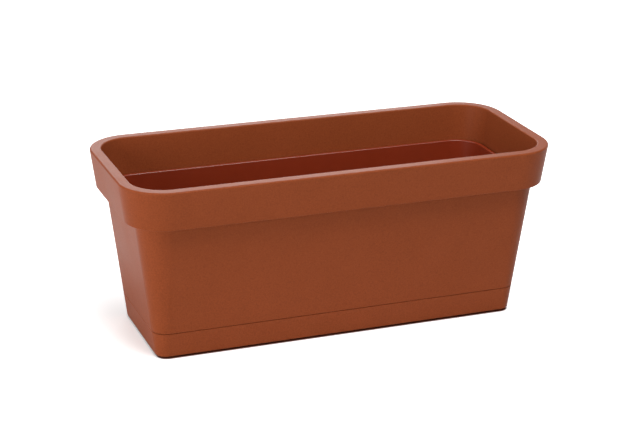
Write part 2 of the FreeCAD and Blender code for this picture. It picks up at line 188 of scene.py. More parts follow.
def inside(points: np.ndarray, outlines: Sequence[np.ndarray]) -> np.ndarray:
    """Whether points lie in the area between outlines.

    A ray towards +X from each point crosses the outlines an odd number of times from inside.

    Args:
        points: Rows of X and Y.
        outlines: Closed outlines, the outer one and its holes in any order.

    Returns:
        One truth value per point.
    """
    odd = np.zeros(len(points), dtype=bool)
    x, y = points[:, 0, None], points[:, 1, None]
    for outline in outlines:
        x1, y1 = outline.T
        x2, y2 = np.roll(outline, -1, axis=0).T
        spans = (y1 > y) != (y2 > y)
        rise = np.where(y2 == y1, 1.0, y2 - y1)
        crossed = spans & (x < x1 + (x2 - x1) * (y - y1) / rise)
        odd ^= crossed.sum(axis=1) % 2 == 1
    return odd


class Skin:
    """The surface of one moulding, gathered part by part."""

    def __init__(self) -> None:
        """Starts with no surface."""
        self.points: list[np.ndarray] = []
        self.faces: list[list[int]] = []
        self.count = 0

    def add(self, points: np.ndarray, faces: np.ndarray | list[list[int]]) -> None:
        """Adds points and the faces between them.

        Args:
            points: Rows of X, Y and Z.
            faces: Rows of indices into points.
        """
        self.points.append(points)
        self.faces.extend((np.asarray(faces) + self.count).tolist())
        self.count += len(points)

    def band(self, rings: Sequence[np.ndarray]) -> None:
        """Joins closed rings of equally many points with strips of four-sided faces.

        Rings run anticlockwise from above. A band that goes down looks outwards and one that
        goes up looks inwards.

        Args:
            rings: The rings in order, each as rows of X, Y and Z.
        """
        rows, columns = len(rings), len(rings[0])
        index = np.arange(rows * columns).reshape(rows, columns)
        following = np.roll(index, -1, axis=1)
        faces = np.stack([index[:-1], index[1:], following[1:], following[:-1]], axis=-1)
        self.add(np.concatenate(rings), faces.reshape(-1, 4))

    def sweep(self, plan: Plan, profile: np.ndarray) -> None:
        """Carries a profile of insets and heights round a plan."""
        self.band([level_points(plan.ring(inset), height) for inset, height in profile])

    def plate(self, height: float, facing: Facing, outer: np.ndarray,
              holes: Sequence[np.ndarray] = ()) -> None:
        """A level plate between an outline and its holes.

        It is the Delaunay triangulation of all the outlines' points that keeps their sides,
        less the triangles whose middles lie outside the plate.

        Args:
            height: Height of the plate.
            facing: Which way the plate looks.
            outer: Its outline.
            holes: Outlines of its holes.
        """
        outlines = [outer, *holes]
        flat = np.concatenate(outlines)
        edges, first = [], 0
        for outline in outlines:
            index = np.arange(len(outline)) + first
            edges.extend(np.stack([index, np.roll(index, -1)], axis=1).tolist())
            first += len(outline)
        found = delaunay_2d_cdt([Vector(point) for point in flat], edges, [], 0,
                                PLATE_TOLERANCE)
        origin = np.array([sources[0] for sources in found[3]])
        triangles = origin[np.array(found[2])]
        a, b, c = flat[triangles[:, 0]], flat[triangles[:, 1]], flat[triangles[:, 2]]
        triangles = triangles[inside((a + b + c) / 3, outlines)]
        if facing is Facing.DOWN:
            triangles = triangles[:, ::-1]
        self.add(level_points(flat, height), triangles)

    def slab(self, face: np.ndarray, thickness: np.ndarray) -> None:
        """A flat closed slab between an outline and its copy moved by its thickness.

        Args:
            face: Outline of one side, as rows of X, Y and Z.
            thickness: The move to the other side.
        """
        count = len(face)
        spread = face - face.mean(axis=0)
        looks = np.cross(spread, np.roll(spread, -1, axis=0)).sum(axis=0)
        if looks @ thickness > 0:
            face = face[::-1]
        index = np.arange(count)
        following = np.roll(index, -1)
        sides = np.stack([following, index, index + count, following + count], axis=1)
        self.add(np.concatenate([face, face + thickness]), sides)
        first = self.count - 2 * count
        self.faces.append((index + first).tolist())
        self.faces.append((index[::-1] + first + count).tolist())

    def build(self, name: str, finish: bpy.types.Material) -> bpy.types.Object:
        """Makes one closed object with smooth curves, crisp corners and a finish.

        Args:
            name: Name of the piece.
            finish: Its material.

        Returns:
            The object, at the origin.
        """
        mesh = bpy.data.meshes.new(name)
        mesh.from_pydata(np.concatenate(self.points), [], self.faces)
        work = bmesh.new()
        work.from_mesh(mesh)
        bmesh.ops.remove_doubles(work, verts=work.verts, dist=SAME_POINT)
        work.to_mesh(mesh)
        work.free()
        mesh.shade_smooth()
        mesh.set_sharp_from_angle(angle=SHARP_EDGE)
        mesh.materials.append(finish)
        piece = bpy.data.objects.new(name, mesh)
        bpy.context.scene.collection.objects.link(piece)
        normals = piece.modifiers.new("flats_stay_flat", "WEIGHTED_NORMAL")
        normals.keep_sharp = True
        return piece


@dataclass(frozen=True)
class Foot:
    """A hollow square foot under a floor, drafted so that it leaves the mould.

    Widths are measured across the flats. The foot's outside runs from base to root, and its
    hollow opens through the floor.
    """

    base_width: float
    root_width: float
    wall: float
    base: float
    root: float
    corner: float = 3.0 * MM

    def outline(self, width: float, centre: Place) -> np.ndarray:
        """The foot's section at a width, about its centre."""
        half = width / 2
        return rounded_box(half, half, self.corner, FOOT_CORNER_STEPS) + np.array(centre)

    def outside(self, height: float, centre: Place) -> np.ndarray:
        """Section of the outside at a height: widths change evenly from base to root."""
        share = (height - self.base) / (self.root - self.base)
        return self.outline(self.base_width + (self.root_width - self.base_width) * share, centre)

    def hollow(self, share: float, centre: Place) -> np.ndarray:
        """Section of the hollow, at share 0 at its bottom and 1 at the floor."""
        width = self.base_width + (self.root_width - self.base_width) * share
        return self.outline(width - 2 * self.wall, centre)

    def build(self, skin: Skin, centre: Place, floor_under: float, floor_top: float) -> None:
        """Adds the foot's outside, its hollow and both bottoms to a skin.

        Args:
            skin: The moulding's skin.
            centre: Place of the foot.
            floor_under: Height of the floor's underside, where the outside ends.
            floor_top: Height of the floor's upper side, where the hollow opens.
        """
        outer = [self.outside(floor_under, centre), self.outside(self.base, centre)]
        skin.band([level_points(outer[0], floor_under), level_points(outer[1], self.base)])
        skin.plate(self.base, Facing.DOWN, outer[1])
        bottom = self.base + self.wall
        inner = [self.hollow(0.0, centre), self.hollow(1.0, centre)]
        skin.band([level_points(inner[0], bottom), level_points(inner[1], floor_top)])
        skin.plate(bottom, Facing.UP, inner[0])


@dataclass(frozen=True)
class Floor:
    """A level floor with feet below it and drain holes through it."""

    under: float
    top: float
    foot: Foot
    feet: tuple[Place, ...]
    drain_radius: float
    drains: tuple[Place, ...]

    def build(self, skin: Skin, outer_under: np.ndarray, outer_top: np.ndarray) -> None:
        """Adds both faces of the floor, its drains and its feet to a skin.

        Args:
            skin: The moulding's skin.
            outer_under: Outline of the floor's underside.
            outer_top: Outline of its upper side.
        """
        drains = [circle(self.drain_radius, DRAIN_STEPS) + np.array(place) for place in self.drains]
        mouths = [self.foot.hollow(1.0, place) for place in self.feet]
        roots = [self.foot.outside(self.under, place) for place in self.feet]
        skin.plate(self.top, Facing.UP, outer_top, [*mouths, *drains])
        skin.plate(self.under, Facing.DOWN, outer_under, [*roots, *drains])
        for drain in drains:
            skin.band([level_points(drain, self.under), level_points(drain, self.top)])
        for place in self.feet:
            self.foot.build(skin, place, self.under, self.top)


def centred(count: int, pitch: float) -> list[float]:
    """Places along a line, pitch apart about the middle."""
    return ((np.arange(count) - (count - 1) / 2) * pitch).tolist()


def row(count: int, pitch: float, y: float) -> tuple[Place, ...]:
    """Centres of a row along X at a Y."""
    return tuple((x, y) for x in centred(count, pitch))


def two_rows(count: int, pitch: float, y: float) -> tuple[Place, ...]:
    """Centres of two rows along X, one at -Y and one at Y."""
    return row(count, pitch, -y) + row(count, pitch, y)


# ---------------------------------------------------------------------------------------------
# Finishes
# ---------------------------------------------------------------------------------------------


# What noise mostly reaches: the middle of its range for the slow drift, more for the grain.
DRIFT_SPAN = (0.3, 0.7)
GRAIN_SPAN = (0.25, 0.75)

# The sockets of a colour Mix node: both inputs and the output.
MIX_A, MIX_B, MIX_OUT = 6, 7, 2


def linear(code: str) -> tuple[float, float, float, float]:
    """An sRGB hex colour as linear light.

    A value v up to 0.04045 is divided by 12.92, and above that it becomes
    ((v + 0.055) / 1.055) to the power 2.4.

    Args:
        code: The colour, as # and six hex digits.

    Returns:
        Red, green, blue and alpha.
    """
    values = np.array([int(code[index:index + 2], 16) for index in (1, 3, 5)]) / 255
    low, high = values / 12.92, ((values + 0.055) / 1.055) ** 2.4
    red, green, blue = np.where(values <= 0.04045, low, high)
    return float(red), float(green), float(blue), 1.0


def add_node(tree: bpy.types.NodeTree, kind: str, inputs: dict | None = None,
             **settings: object) -> bpy.types.Node:
    """Adds a node, with values or links into its inputs and settings of its own.

    Args:
        tree: The node tree.
        kind: The node's type name.
        inputs: Values or output sockets, by the input's name or number.
        settings: Properties of the node.

    Returns:
        The node.
    """
    node = tree.nodes.new(kind)
    for name, value in settings.items():
        setattr(node, name, value)
    for name, value in (inputs or {}).items():
        if isinstance(value, bpy.types.NodeSocket):
            tree.links.new(value, node.inputs[name])
        else:
            node.inputs[name].default_value = value
    return node


@dataclass(frozen=True)
class MouldedPolypropylene:
    """Injection-moulded polypropylene, coloured all through.

    The mould's surface gives the sheen: a spark-eroded mould leaves a fine even grain that
    scatters light, and a polished one leaves a smooth skin that mirrors softly.
    """

    name: str
    colour: str
    colour_worn: str
    roughness: float
    roughness_spread: float
    specular_level: float
    grain: float
    grain_depth: float
    fleck_and_grain_shade: float
    grain_detail: float = 2.0
    mottle: float = 60.0 * MM
    mottle_detail: float = 4.0
    mottle_roughness: float = 0.55
    refraction: float = 1.49

    def material(self) -> bpy.types.Material:
        """Builds the material: colour and sheen drift slowly, and the grain is a bump.

        The grain's hollows are painted a little darker and its crests a little lighter, following
        the bump's noise: painted shade mixed with flecks of colour.

        Returns:
            The material.
        """
        material = bpy.data.materials.new(self.name)
        material.use_nodes = True
        tree = material.node_tree
        tree.nodes.clear()
        place = add_node(tree, "ShaderNodeTexCoord").outputs["Object"]
        drift = add_node(tree, "ShaderNodeTexNoise", {
            "Vector": place, "Scale": 1 / self.mottle, "Detail": self.mottle_detail,
            "Roughness": self.mottle_roughness})
        cloud = add_node(tree, "ShaderNodeMix", {
            0: drift.outputs[0], MIX_A: linear(self.colour), MIX_B: linear(self.colour_worn)},
            data_type="RGBA")
        sheen = add_node(tree, "ShaderNodeMapRange", {
            "Value": drift.outputs[0], "From Min": DRIFT_SPAN[0], "From Max": DRIFT_SPAN[1],
            "To Min": self.roughness - self.roughness_spread,
            "To Max": self.roughness + self.roughness_spread})
        speckle = add_node(tree, "ShaderNodeTexNoise", {
            "Vector": place, "Scale": 1 / self.grain, "Detail": self.grain_detail})
        # Painted shade in the grain's hollows and painted light on its crests, from the bump's own
        # noise, mixed with flecks of colour.
        shade = add_node(tree, "ShaderNodeMapRange", {
            "Value": speckle.outputs[0], "From Min": GRAIN_SPAN[0], "From Max": GRAIN_SPAN[1],
            "To Min": 1.0 - self.fleck_and_grain_shade, "To Max": 1.0 + self.fleck_and_grain_shade})
        tint = add_node(tree, "ShaderNodeMix", {
            0: 1.0, MIX_A: cloud.outputs[MIX_OUT], MIX_B: shade.outputs[0]},
            data_type="RGBA", blend_type="MULTIPLY")
        bump = add_node(tree, "ShaderNodeBump", {
            "Height": speckle.outputs[0], "Strength": 1.0, "Distance": self.grain_depth})
        surface = add_node(tree, "ShaderNodeBsdfPrincipled", {
            "Base Color": tint.outputs[MIX_OUT], "Roughness": sheen.outputs[0],
            "IOR": self.refraction, "Specular IOR Level": self.specular_level,
            "Normal": bump.outputs[0]})
        add_node(tree, "ShaderNodeOutputMaterial", {"Surface": surface.outputs[0]})
        return material


# The grain of a real spark-eroded mould is about 0.1 mm, too fine for the picture, so it is drawn
# at 1.5 mm; the polished mould's slight waviness is about 12 mm long.
GRAINED_SHELL = MouldedPolypropylene(
    name="grained_polypropylene", colour="#8A4323", colour_worn="#924828", roughness=0.36,
    roughness_spread=0.03, specular_level=0.06, grain=1.5 * MM, grain_depth=0.06 * MM,
    fleck_and_grain_shade=0.14)
POLISHED_LINER = MouldedPolypropylene(
    name="polished_polypropylene", colour="#842F17", colour_worn="#88321A", roughness=0.24,
    roughness_spread=0.02, specular_level=0.5, grain=12.0 * MM, grain_depth=0.02 * MM,
    fleck_and_grain_shade=0.03)


# ---------------------------------------------------------------------------------------------
# Mouldings
# ---------------------------------------------------------------------------------------------


@dataclass(frozen=True)
class Walls:
    """Heights and insets that the three mouldings share, in metres.

    An inset is how far a face lies inside the outline of the rim. The tray's floor carries the
    shell, and the shell's floor carries the liner.
    """

    length: float
    width: float
    top: float
    collar_height: float = 44.2 * MM
    collar_lean: float = 6.3 * MM
    collar_overhang: float = 10.3 * MM
    body_taper: float = 20.8 * MM
    rim_land: float = 12.8 * MM
    rim_corner: float = 50.0 * MM
    shell_wall: float = 3.0 * MM
    shell_floor_thick: float = 2.8 * MM
    shell_lift: float = 7.4 * MM
    tray_wall: float = 2.4 * MM
    tray_floor_thick: float = 2.4 * MM
    tray_foot_rise: float = 2.2 * MM
    tray_height: float = 30.0 * MM
    tray_reveal: float = 0.6 * MM
    tray_fit: float = 0.5 * MM

    @property
    def tray_floor(self) -> float:
        """Height of the tray's floor, where the shell's feet stand."""
        return self.tray_foot_rise + self.tray_floor_thick

    @property
    def shell_base(self) -> float:
        """Height of the underside of the shell's floor."""
        return self.tray_floor + self.shell_lift

    @property
    def shell_floor(self) -> float:
        """Height of the shell's floor, where the liner's feet stand."""
        return self.shell_base + self.shell_floor_thick

    @property
    def seam(self) -> float:
        """Height of the shell's edge over the tray's lip."""
        return self.tray_height + self.tray_reveal

    @property
    def rabbet(self) -> float:
        """How far the shell steps in behind the tray."""
        return self.tray_wall + self.tray_fit

    @property
    def collar_foot(self) -> float:
        """Height of the collar's lower edge."""
        return self.top - self.collar_height

    def body_inset(self, height: float) -> float:
        """Outer face of the tapered body: its inset grows evenly from the collar down."""
        drop = 1 - height / self.collar_foot
        return self.collar_lean + self.collar_overhang + self.body_taper * drop

    def skirt_inset(self, height: float) -> float:
        """Outer face of the collar: its inset grows evenly from the rim down."""
        return self.collar_lean * (self.top - height) / self.collar_height

    def inner_inset(self, height: float) -> float:
        """Inner face of the shell behind the collar, straight from rim to body.

        Args:
            height: Height above the ground.

        Returns:
            The inset there.
        """
        foot = self.body_inset(self.collar_foot) + self.shell_wall
        drop = (self.top - height) / self.collar_height
        return self.rim_land + (foot - self.rim_land) * drop

    def plan(self, corner: float) -> Plan:
        """Plans whose corners have the given radius at the rim's outline."""
        return Plan(self.length / 2, self.width / 2, corner)


@dataclass
class DripTray:
    """The flush saucer under the planter, in metres."""

    walls: Walls
    floor_radius: float = 1.2 * MM
    floor_run: float = 4.0 * MM
    base_radius: float = 1.2 * MM
    lip_radius: float = 0.6 * MM
    foot_setback: float = 6.0 * MM
    foot_band: float = 9.0 * MM
    foot_run: float = 3.0 * MM
    foot_root_radius: float = 0.4 * MM
    foot_radius: float = 0.5 * MM
    rib_thick: float = 1.8 * MM
    rib_rise: float = 1.6 * MM
    rib_pitch: float = 130.0 * MM
    edge_steps: int = 6

    def foot_inset(self, height: float) -> float:
        """Outer face of the set-in foot."""
        return self.walls.body_inset(height) + self.foot_setback

    def wall_profile(self) -> np.ndarray:
        """From the floor up the inside, over the lip, down the outside and under to the foot.

        Returns:
            Rows of inset and height.
        """
        walls, wall, under = self.walls, self.walls.tray_wall, self.walls.tray_foot_rise
        floor, lip = walls.tray_floor, walls.tray_height
        floor_inset = walls.body_inset(floor) + wall
        return rounded_profile([
            (floor_inset + self.floor_run, floor, 0.0),
            (floor_inset, floor, self.floor_radius),
            (walls.body_inset(lip) + wall, lip, self.lip_radius),
            (walls.body_inset(lip), lip, self.lip_radius),
            (walls.body_inset(under), under, self.base_radius),
            (self.foot_inset(under), under, self.foot_root_radius),
            (self.foot_inset(0.0), 0.0, self.foot_radius),
            (self.foot_inset(0.0) + self.foot_run, 0.0, 0.0)], self.edge_steps)

    def ribs(self) -> np.ndarray:
        """Outline of one rib along the floor with three across it, as a single cross shape.

        The corners of one quarter go anticlockwise, and the other three quarters are the same
        corners turned and mirrored.

        Returns:
            Rows of X and Y.
        """
        walls = self.walls
        root = walls.body_inset(walls.tray_floor) + walls.tray_wall / 2
        reach_x, reach_y = walls.length / 2 - root, walls.width / 2 - root
        half, pitch = self.rib_thick / 2, self.rib_pitch
        quarter = np.array([
            (half, -reach_y), (half, -half), (pitch - half, -half), (pitch - half, -reach_y),
            (pitch + half, -reach_y), (pitch + half, -half), (reach_x, -half)])
        right = np.concatenate([quarter, quarter[::-1] * (1, -1)])
        return np.concatenate([right, -right])

    def build(self, finish: bpy.types.Material) -> bpy.types.Object:
        """Makes the tray, dressed and riding on its body.

        Args:
            finish: Material of the moulding.

        Returns:
            The piece.
        """
        skin, walls = Skin(), self.walls
        plan, under = walls.plan(walls.rim_corner), walls.tray_foot_rise
        profile = self.wall_profile()
        skin.sweep(plan, profile)
        skin.plate(walls.tray_floor, Facing.UP, plan.ring(profile[0, 0]))
        setback = self.foot_setback + self.foot_band
        recess = walls.plan(walls.rim_corner + setback).ring(walls.body_inset(0.0) + setback)
        skin.plate(0.0, Facing.DOWN, plan.ring(profile[-1, 0]), [recess])
        skin.band([level_points(recess, 0.0), level_points(recess, under)])
        skin.plate(under, Facing.DOWN, recess)
        root = under + walls.tray_floor_thick / 2
        rise = np.array([0.0, 0.0, walls.tray_floor + self.rib_rise - root])
        skin.slab(level_points(self.ribs(), root), rise)
        tray = skin.build("tray_moulding", finish)
        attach(tray, "tray")
        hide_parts("drip_tray")
        return tray


@dataclass
class PlanterShell:
    """The outer box with its hollow collar, in metres."""

    walls: Walls
    seam_radius: float = 0.3 * MM
    step_radius: float = 2.0 * MM
    floor_radius: float = 1.2 * MM
    floor_run: float = 3.0 * MM
    rim_plate: float = 2.6 * MM
    rim_radius: float = 1.8 * MM
    skirt_wall: float = 2.5 * MM
    skirt_radius: float = 0.8 * MM
    skirt_inner_radius: float = 0.5 * MM
    hollow_radius: float = 1.0 * MM
    base_radius: float = 1.6 * MM
    gusset_thick: float = 1.8 * MM
    gusset_setback: float = 4.0 * MM
    gusset_pitch: float = 62.0 * MM
    gussets_per_side: int = 7
    gussets_per_end: int = 2
    foot_base_width: float = 26.0 * MM
    foot_root_width: float = 30.0 * MM
    foot_wall: float = 2.4 * MM
    feet_per_row: int = 4
    foot_pitch: float = 112.0 * MM
    foot_y: float = 44.0 * MM
    drains: int = 4
    drain_radius: float = 5.0 * MM
    drain_pitch: float = 100.0 * MM
    edge_steps: int = 6

    def wall_profile(self) -> np.ndarray:
        """From the floor up the inside, over the rim, round the skirt and down the outside.

        Behind the tray the wall steps in by the tray's wall and its fit, and the inside steps
        back out over the two wall thicknesses above the seam.

        Returns:
            Rows of inset and height.
        """
        walls, wall = self.walls, self.walls.shell_wall
        base, floor, seam = walls.shell_base, walls.shell_floor, walls.seam
        shoulder = seam + 2 * wall
        plate_under = walls.top - self.rim_plate
        foot = walls.collar_foot
        floor_inset = walls.body_inset(floor) + walls.rabbet + wall
        base_inset = walls.body_inset(base) + walls.rabbet
        return rounded_profile([
            (floor_inset + self.floor_run, floor, 0.0),
            (floor_inset, floor, self.floor_radius),
            (walls.body_inset(seam) + walls.rabbet + wall, seam, self.step_radius),
            (walls.body_inset(shoulder) + wall, shoulder, self.step_radius),
            (walls.body_inset(foot) + wall, foot, 0.0),
            (walls.rim_land, walls.top, self.rim_radius),
            (0.0, walls.top, self.rim_radius),
            (walls.skirt_inset(foot), foot, self.skirt_radius),
            (walls.skirt_inset(foot) + self.skirt_wall, foot, self.skirt_inner_radius),
            (walls.skirt_inset(plate_under) + self.skirt_wall, plate_under, self.hollow_radius),
            (walls.inner_inset(plate_under) - wall, plate_under, self.hollow_radius),
            (walls.body_inset(foot), foot, 0.0),
            (walls.body_inset(seam), seam, self.seam_radius),
            (walls.body_inset(seam) + walls.rabbet, seam, 0.0),
            (base_inset, base, self.base_radius),
            (base_inset + self.floor_run, base, 0.0)], self.edge_steps)

    def floor(self) -> Floor:
        """The shell's floor, with hollow feet that reach from its middle to the tray's floor.

        Returns:
            The floor.
        """
        walls = self.walls
        foot = Foot(self.foot_base_width, self.foot_root_width, self.foot_wall,
                    base=walls.tray_floor, root=walls.shell_base + walls.shell_floor_thick / 2)
        return Floor(walls.shell_base, walls.shell_floor, foot,
                     two_rows(self.feet_per_row, self.foot_pitch, self.foot_y),
                     self.drain_radius, row(self.drains, self.drain_pitch, 0.0))

    def gusset(self) -> np.ndarray:
        """Section of a gusset in the collar's hollow, rooted in the walls around it.

        Returns:
            Rows of inset and height.
        """
        walls = self.walls
        low = walls.collar_foot + self.gusset_setback
        high = walls.top - self.rim_plate / 2
        outer, inner = self.skirt_wall / 2, walls.shell_wall / 2
        return np.array([
            (walls.skirt_inset(low) + outer, low), (walls.skirt_inset(high) + outer, high),
            (walls.inner_inset(high) - inner, high), (walls.inner_inset(low) - inner, low)])

    def add_gussets(self, skin: Skin) -> None:
        """Adds the gussets along each side of the collar and across each end.

        Args:
            skin: The shell's skin.
        """
        inset, height = self.gusset().T
        half = self.gusset_thick / 2
        for side in (-1, 1):
            for x in centred(self.gussets_per_side, self.gusset_pitch):
                y = side * (self.walls.width / 2 - inset)
                face = np.column_stack([np.full(len(y), x - half), y, height])
                skin.slab(face, np.array([2 * half, 0.0, 0.0]))
            for y in centred(self.gussets_per_end, self.gusset_pitch):
                x = side * (self.walls.length / 2 - inset)
                face = np.column_stack([x, np.full(len(x), y - half), height])
                skin.slab(face, np.array([0.0, 2 * half, 0.0]))

    def build(self, finish: bpy.types.Material) -> bpy.types.Object:
        """Makes the shell, dressed and riding on its body.

        Args:
            finish: Material of the moulding.

        Returns:
            The piece.
        """
        skin = Skin()
        plan = self.walls.plan(self.walls.rim_corner)
        profile = self.wall_profile()
        skin.sweep(plan, profile)
        self.floor().build(skin, plan.ring(profile[-1, 0]), plan.ring(profile[0, 0]))
        self.add_gussets(skin)
        shell = skin.build("shell_moulding", finish)
        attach(shell, "planter")
        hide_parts("planter_shell")
        return shell


@dataclass
class Liner:
    """The inner pot that holds the soil, in metres."""

    walls: Walls
    drop: float = 40.5 * MM
    fit: float = 1.8 * MM
    foot_fit: float = 1.2 * MM
    wall: float = 2.2 * MM
    lip_land: float = 4.8 * MM
    lip_depth: float = 3.2 * MM
    lip_corner: float = 33.0 * MM
    lip_inner_radius: float = 1.0 * MM
    lip_outer_radius: float = 1.6 * MM
    lip_edge_radius: float = 0.4 * MM
    lip_root_radius: float = 0.5 * MM
    stand: float = 11.0 * MM
    floor_thick: float = 2.4 * MM
    floor_radius: float = 6.0 * MM
    floor_run: float = 6.5 * MM
    base_run: float = 8.5 * MM
    foot_base_width: float = 28.0 * MM
    foot_root_width: float = 32.0 * MM
    foot_wall: float = 2.2 * MM
    feet_per_row: int = 3
    foot_pitch: float = 128.0 * MM
    foot_y: float = 38.0 * MM
    drains_per_row: int = 3
    drain_radius: float = 4.5 * MM
    drain_pitch: float = 64.0 * MM
    drain_y: float = 14.0 * MM
    edge_steps: int = 8

    @property
    def base(self) -> float:
        """Height of the underside of the floor."""
        return self.walls.shell_floor + self.stand

    @property
    def top(self) -> float:
        """Height of the lip."""
        return self.walls.top - self.drop

    @property
    def lip_inset(self) -> float:
        """Outer face of the lip, just inside the shell."""
        return self.walls.inner_inset(self.top) + self.fit

    def pot_inset(self, height: float) -> float:
        """Outer face of the pot, straight from its base to the lip's inner edge.

        Args:
            height: Height above the ground.

        Returns:
            The inset there.
        """
        walls = self.walls
        low = walls.body_inset(self.base) + walls.rabbet + walls.shell_wall + self.foot_fit
        high = self.lip_inset + self.lip_land - self.wall
        rise = (height - self.base) / (self.top - self.base)
        return low * (1 - rise) + high * rise

    def wall_profile(self) -> np.ndarray:
        """From the floor up the inside, over the lip and down the outside to the base.

        Returns:
            Rows of inset and height.
        """
        floor, lip_under = self.base + self.floor_thick, self.top - self.lip_depth
        floor_inset = self.pot_inset(floor) + self.wall
        base_inset = self.pot_inset(self.base)
        return rounded_profile([
            (floor_inset + self.floor_run, floor, 0.0),
            (floor_inset, floor, self.floor_radius),
            (self.lip_inset + self.lip_land, self.top, self.lip_inner_radius),
            (self.lip_inset, self.top, self.lip_outer_radius),
            (self.lip_inset, lip_under, self.lip_edge_radius),
            (self.pot_inset(lip_under), lip_under, self.lip_root_radius),
            (base_inset, self.base, self.floor_radius + self.wall),
            (base_inset + self.base_run, self.base, 0.0)], self.edge_steps)

    def floor(self) -> Floor:
        """The liner's floor, with hollow feet that reach from its middle to the shell's floor.

        Returns:
            The floor.
        """
        foot = Foot(self.foot_base_width, self.foot_root_width, self.foot_wall,
                    base=self.walls.shell_floor, root=self.base + self.floor_thick / 2)
        return Floor(self.base, self.base + self.floor_thick, foot,
                     two_rows(self.feet_per_row, self.foot_pitch, self.foot_y),
                     self.drain_radius,
                     two_rows(self.drains_per_row, self.drain_pitch, self.drain_y))

    def build(self, finish: bpy.types.Material) -> bpy.types.Object:
        """Makes the inner pot, dressed and riding on its body.

        Args:
            finish: Material of the moulding.

        Returns:
            The piece.
        """
        skin = Skin()
        plan = self.walls.plan(self.lip_corner + self.lip_inset)
        profile = self.wall_profile()
        skin.sweep(plan, profile)
        self.floor().build(skin, plan.ring(profile[-1, 0]), plan.ring(profile[0, 0]))
        pot = skin.build("liner_moulding", finish)
        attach(pot, "pot")
        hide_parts("liner")
        return pot


# ---------------------------------------------------------------------------------------------
# Studio
# ---------------------------------------------------------------------------------------------


def direction(azimuth: float, elevation: float) -> Vector:
    """The way from the planter to a place, as a unit vector.

    For azimuth a and elevation e it is (sin a cos e, -cos a cos e, sin e), so azimuth 0 is the
    front and 90 the right end.

    Args:
        azimuth: Turn from the front, in degrees.
        elevation: Rise above the level, in degrees.

    Returns:
        The vector.
    """
    turn, rise = math.radians(azimuth), math.radians(elevation)
    return Vector((math.sin(turn) * math.cos(rise), -math.cos(turn) * math.cos(rise),
                   math.sin(rise)))


@dataclass(frozen=True)
class PhotoCamera:
    """The photograph's camera, found from the edges of the planter: metres and degrees."""

    azimuth: float = -21.198
    elevation: float = 20.032
    roll: float = 0.780
    distance: float = 2.0399
    target: tuple[float, float, float] = (0.00005, 0.0005, 0.12035)
    lens: float = 100.94
    sensor: float = 36.0
    clip_start: float = 0.05
    clip_end: float = 50.0

    def build(self) -> None:
        """Makes the scene's camera."""
        data = bpy.data.cameras.new("photo_camera")
        data.sensor_width, data.lens = self.sensor, self.lens
        data.clip_start, data.clip_end = self.clip_start, self.clip_end
        back = direction(self.azimuth, self.elevation)
        right = Vector((0.0, 0.0, 1.0)).cross(back).normalized()
        level = Matrix((right, back.cross(right), back)).transposed()
        camera = bpy.data.objects.new("photo_camera", data)
        bpy.context.scene.collection.objects.link(camera)
        turn = Matrix.Rotation(math.radians(self.roll), 3, "Z")
        camera.matrix_world = (level @ turn).to_4x4()
        camera.location = Vector(self.target) + back * self.distance
        bpy.context.scene.camera = camera


@dataclass(frozen=True)
class Softbox:
    """A square diffused lamp that looks at the middle of the planter: degrees, metres, watts."""

    name: str
    azimuth: float
    elevation: float
    power: float
    side: float = 1.2
    distance: float = 2.4
    aim_height: float = 0.1

    def build(self) -> None:
        """Places the lamp."""
        data = bpy.data.lights.new(self.name, "AREA")
        data.shape, data.size, data.energy = "SQUARE", self.side, self.power
        lamp = bpy.data.objects.new(self.name, data)
        bpy.context.scene.collection.objects.link(lamp)
        way = direction(self.azimuth, self.elevation)
        lamp.location = way * self.distance + Vector((0.0, 0.0, self.aim_height))
        lamp.rotation_euler = (-way).to_track_quat("-Z", "Y").to_euler()


